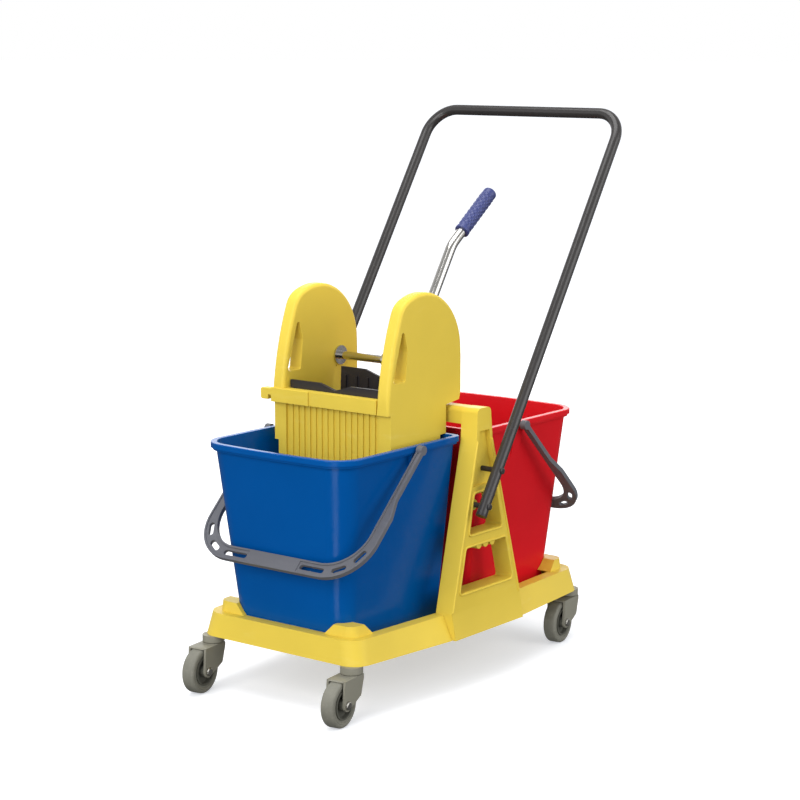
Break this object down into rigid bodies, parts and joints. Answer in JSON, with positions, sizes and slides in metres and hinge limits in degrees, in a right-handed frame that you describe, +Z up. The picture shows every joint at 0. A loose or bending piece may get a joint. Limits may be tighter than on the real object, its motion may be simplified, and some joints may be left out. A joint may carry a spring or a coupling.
{
  "type": "mop bucket trolley with wringer",
  "caption": "Wheeled mop trolley with separate wash and rinse buckets on a tray, a lever-operated jaw wringer hung in the wash bucket, A-shaped side frames and a bent-tube push handle",
  "frame": {"origin": "on the floor under the middle of the tray", "axes": "+X from the wash bucket towards the rinse bucket, where the user stands; +Y across to the right side; +Z up"},
  "size_m": [0.7749, 0.4398, 0.9495],
  "materials": {
    "yellow_plastic": "injection-moulded polypropylene, satin gloss",
    "blue_plastic": "injection-moulded polypropylene, satin gloss",
    "red_plastic": "injection-moulded polypropylene, satin gloss",
    "bail_grey": "moulded grey plastic",
    "black_plastic": "moulded black plastic",
    "bush_plastic": "plain acetal",
    "plated_steel": "zinc plated",
    "handle_black": "powder coat, satin",
    "chrome": "bright chrome plate",
    "grip_violet": "ribbed soft plastic",
    "caster_grey": "moulded grey-olive plastic",
    "hub_grey": "moulded grey plastic",
    "tyre_grey": "grey non-marking rubber"
  },
  "bodies": {
    "chassis": {"base_tray": "yellow_plastic", "side_frame_left": "yellow_plastic", "side_frame_right": "yellow_plastic", "beam_splice": "black_plastic", "splice_screws": "plated_steel", "foot_screws": "plated_steel", "push_handle": "handle_black", "handle_plugs": "black_plastic", "handle_spacers": "black_plastic", "handle_bolts": "handle_black", "handle_nuts": "plated_steel", "front_left_caster_stem": "caster_grey", "front_right_caster_stem": "caster_grey", "rear_left_caster_stem": "caster_grey", "rear_right_caster_stem": "caster_grey"},
    "front_left_caster": {"front_left_fork": "caster_grey", "front_left_axle_bolt": "plated_steel", "front_left_axle_nut": "plated_steel"},
    "front_left_wheel": {"front_left_hub": "hub_grey", "front_left_tyre": "tyre_grey"},
    "front_right_caster": {"front_right_fork": "caster_grey", "front_right_axle_bolt": "plated_steel", "front_right_axle_nut": "plated_steel"},
    "front_right_wheel": {"front_right_hub": "hub_grey", "front_right_tyre": "tyre_grey"},
    "rear_left_caster": {"rear_left_fork": "caster_grey", "rear_left_axle_bolt": "plated_steel", "rear_left_axle_nut": "plated_steel"},
    "rear_left_wheel": {"rear_left_hub": "hub_grey", "rear_left_tyre": "tyre_grey"},
    "rear_right_caster": {"rear_right_fork": "caster_grey", "rear_right_axle_bolt": "plated_steel", "rear_right_axle_nut": "plated_steel"},
    "rear_right_wheel": {"rear_right_hub": "hub_grey", "rear_right_tyre": "tyre_grey"},
    "blue_bucket": {"blue_bucket": "blue_plastic"},
    "red_bucket": {"red_bucket": "red_plastic"},
    "blue_bail": {"blue_bail": "bail_grey"},
    "red_bail": {"red_bail": "bail_grey"},
    "wringer": {"wringer_ear_left": "yellow_plastic", "wringer_ear_right": "yellow_plastic", "wringer_front_wall": "yellow_plastic", "wringer_back_wall": "yellow_plastic", "wringer_legs": "yellow_plastic", "wringer_clip": "yellow_plastic", "drain_grate": "black_plastic", "axle_bushes": "bush_plastic", "front_press_plate": "black_plastic", "plate_screws": "plated_steel", "plate_hinge_rod": "plated_steel", "return_spring": "plated_steel"},
    "lever": {"lever_axle": "chrome", "axle_washers": "chrome", "lever_collar": "chrome", "press_arm": "chrome", "press_bar": "chrome", "lever_tube": "chrome", "lever_grip": "grip_violet"},
    "press_plate": {"rear_press_plate": "black_plastic"}
  },
  "joints": [
    {"name": "front_left_swivel", "type": "hinge", "parent": "chassis", "child": "front_left_caster", "pos_m": [-0.309, -0.149, 0.08], "axis": [0, 0, 1], "continuous": true},
    {"name": "front_left_roll", "type": "hinge", "parent": "front_left_caster", "child": "front_left_wheel", "pos_m": [-0.34861, -0.15457, 0.0375], "axis": [-0.1392, 0.9903, 0], "continuous": true},
    {"name": "front_right_swivel", "type": "hinge", "parent": "chassis", "child": "front_right_caster", "pos_m": [-0.309, 0.149, 0.08], "axis": [0, 0, 1], "continuous": true},
    {"name": "front_right_roll", "type": "hinge", "parent": "front_right_caster", "child": "front_right_wheel", "pos_m": [-0.34861, 0.14343, 0.0375], "axis": [-0.1392, 0.9903, 0], "continuous": true},
    {"name": "rear_left_swivel", "type": "hinge", "parent": "chassis", "child": "rear_left_caster", "pos_m": [0.309, -0.149, 0.08], "axis": [0, 0, 1], "continuous": true},
    {"name": "rear_left_roll", "type": "hinge", "parent": "rear_left_caster", "child": "rear_left_wheel", "pos_m": [0.26939, -0.15457, 0.0375], "axis": [-0.1392, 0.9903, 0], "continuous": true},
    {"name": "rear_right_swivel", "type": "hinge", "parent": "chassis", "child": "rear_right_caster", "pos_m": [0.309, 0.149, 0.08], "axis": [0, 0, 1], "continuous": true},
    {"name": "rear_right_roll", "type": "hinge", "parent": "rear_right_caster", "child": "rear_right_wheel", "pos_m": [0.26939, 0.14343, 0.0375], "axis": [-0.1392, 0.9903, 0], "continuous": true},
    {"name": "blue_bucket_lift", "type": "slide", "parent": "chassis", "child": "blue_bucket", "axis": [0, 0, 1], "range_m": [0, 0.1]},
    {"name": "red_bucket_lift", "type": "slide", "parent": "chassis", "child": "red_bucket", "axis": [0, 0, 1], "range_m": [0, 0.1]},
    {"name": "wringer_lift", "type": "slide", "parent": "blue_bucket", "child": "wringer", "axis": [0, 0, 1], "range_m": [0, 0.3]},
    {"name": "blue_bail_swing", "type": "hinge", "parent": "blue_bucket", "child": "blue_bail", "pos_m": [-0.1467, 0, 0.4143], "axis": [0, 1, 0], "range_deg": [0, 100]},
    {"name": "red_bail_swing", "type": "hinge", "parent": "red_bucket", "child": "red_bail", "pos_m": [0.1467, 0, 0.4143], "axis": [0, -1, 0], "range_deg": [0, 100]},
    {"name": "lever_pull", "type": "hinge", "parent": "wringer", "child": "lever", "pos_m": [-0.035, 0, 0.534], "axis": [0, 1, 0], "range_deg": [0, 40], "stiffness_Nm_per_rad": 3, "springref_deg": -28.65},
    {"name": "press_plate_swing", "type": "hinge", "parent": "wringer", "child": "press_plate", "pos_m": [-0.058, 0, 0.266], "axis": [0, 1, 0], "range_deg": [-14.6, 0]}
  ],
  "couplings": [
    {"joint": "press_plate_swing", "follows": "lever_pull", "ratio": -0.3625}
  ]
}
